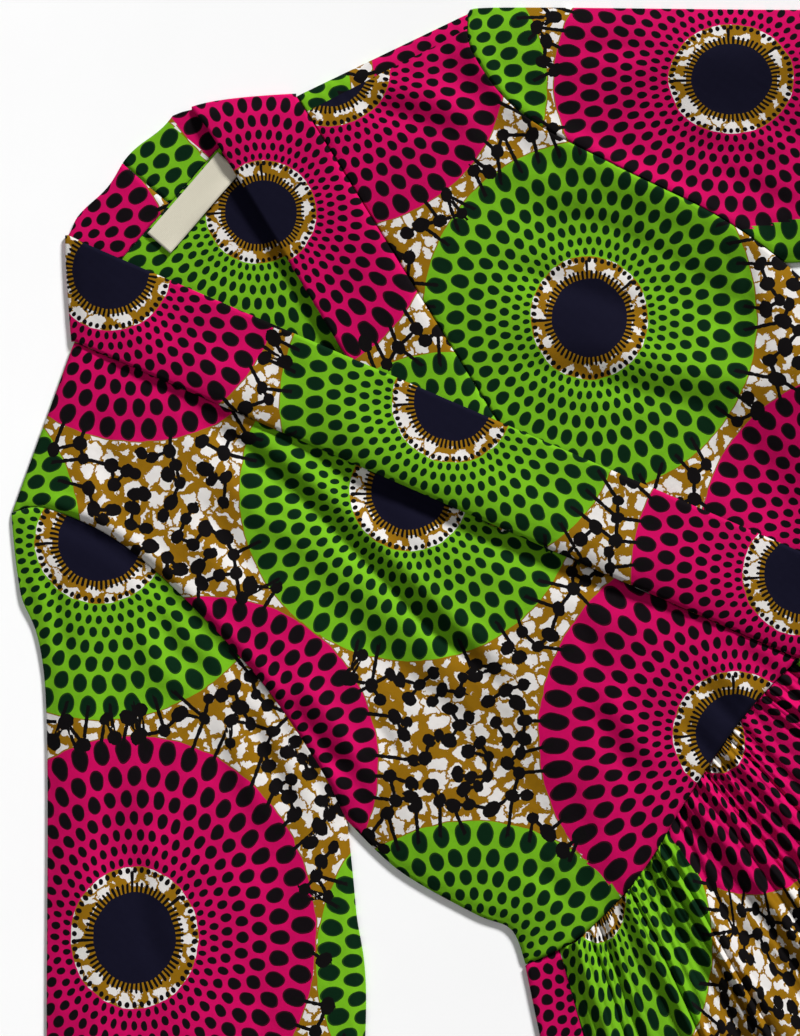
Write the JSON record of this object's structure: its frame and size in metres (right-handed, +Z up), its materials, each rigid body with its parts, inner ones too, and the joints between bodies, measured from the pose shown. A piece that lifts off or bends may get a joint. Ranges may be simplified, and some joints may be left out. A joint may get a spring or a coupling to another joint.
{
  "type": "wrap-front peplum blouse",
  "caption": "Wrap-front blouse in wax-print cotton with a wide neck band, set-in sleeves and a gathered peplum, laid out flat on its back.",
  "frame": {"origin": "middle of the garment's footprint, on the surface that it lies on", "axes": "+Z up from the surface, +Y from the hem towards the neck, +X towards the wearer's left sleeve"},
  "size_m": [1.135, 0.729, 0.0106],
  "materials": {
    "print_cotton": "matte plain-weave cotton, wax print of dotted discs in pink and green with navy centres on an ochre and white ground",
    "label_tape": "smooth cream woven tape, blank"
  },
  "bodies": {
    "root": {"back": "print_cotton", "front_left": "print_cotton", "front_right": "print_cotton", "neck_band_left": "print_cotton", "neck_band_right": "print_cotton", "sleeve_left": "print_cotton", "sleeve_right": "print_cotton", "peplum_front": "print_cotton", "peplum_back": "print_cotton", "label": "label_tape"}
  },
  "joints": []
}
